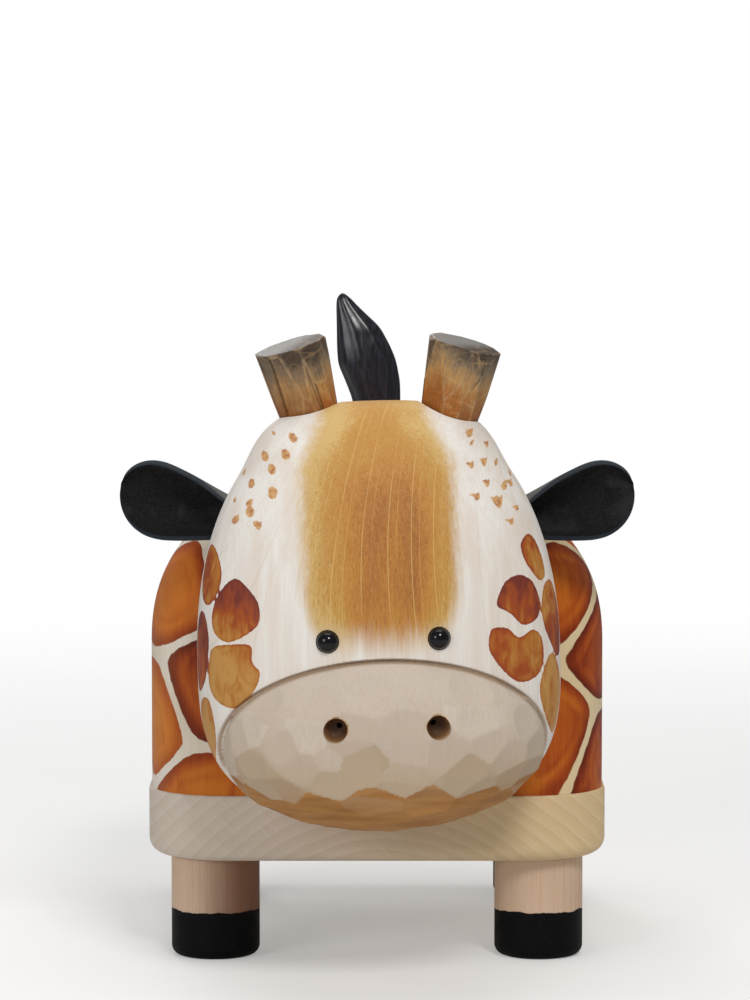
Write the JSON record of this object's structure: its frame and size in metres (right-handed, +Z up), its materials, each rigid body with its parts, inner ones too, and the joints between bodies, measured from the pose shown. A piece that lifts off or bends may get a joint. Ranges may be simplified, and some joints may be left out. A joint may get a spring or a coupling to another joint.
{
  "type": "carved giraffe statue",
  "caption": "Carved and painted wooden giraffe shaped as a low stool: arched hollow body on a base slab with turned legs, big carved head, leather ears, horns and tail.",
  "frame": {"origin": "on the floor under the middle of the whole object's bounding box", "axes": "+Z up, the animal faces -Y, +X is the animal's own left"},
  "size_m": [0.2572, 0.3508, 0.3323],
  "materials": {
    "plate_wood": "bare light hardwood, end grain at front and rear, sanded and oiled",
    "body_paint": "cream ground with orange to red-brown stained patches under a satin clear coat",
    "leg_wood": "turned bare hardwood, foot dipped in matt black paint",
    "head_wood": "carved light hardwood, thin whitewash, tan stain on the forehead and painted patches, matt",
    "eye_bead": "polished black bead",
    "horn_wood": "knife-cut wood stained orange-brown at the foot and charcoal at the top",
    "ear_leather": "thick black grained leather, raw cut edge",
    "tail_lacquer": "fluted carved wood under blue-black lacquer",
    "dowel_wood": "plain beech dowel",
    "screw_steel": "zinc plated"
  },
  "bodies": {
    "root": {"base_plate": "plate_wood", "body_shell": "body_paint", "leg_front_left": "leg_wood", "leg_front_right": "leg_wood", "leg_rear_left": "leg_wood", "leg_rear_right": "leg_wood", "head": "head_wood", "eye_left": "eye_bead", "eye_right": "eye_bead", "horn_left": "horn_wood", "horn_right": "horn_wood", "ear_left": "ear_leather", "ear_right": "ear_leather", "tail": "tail_lacquer", "head_dowels": "dowel_wood", "plate_dowels": "dowel_wood", "head_screws": "screw_steel", "plate_screws": "screw_steel"}
  },
  "joints": []
}
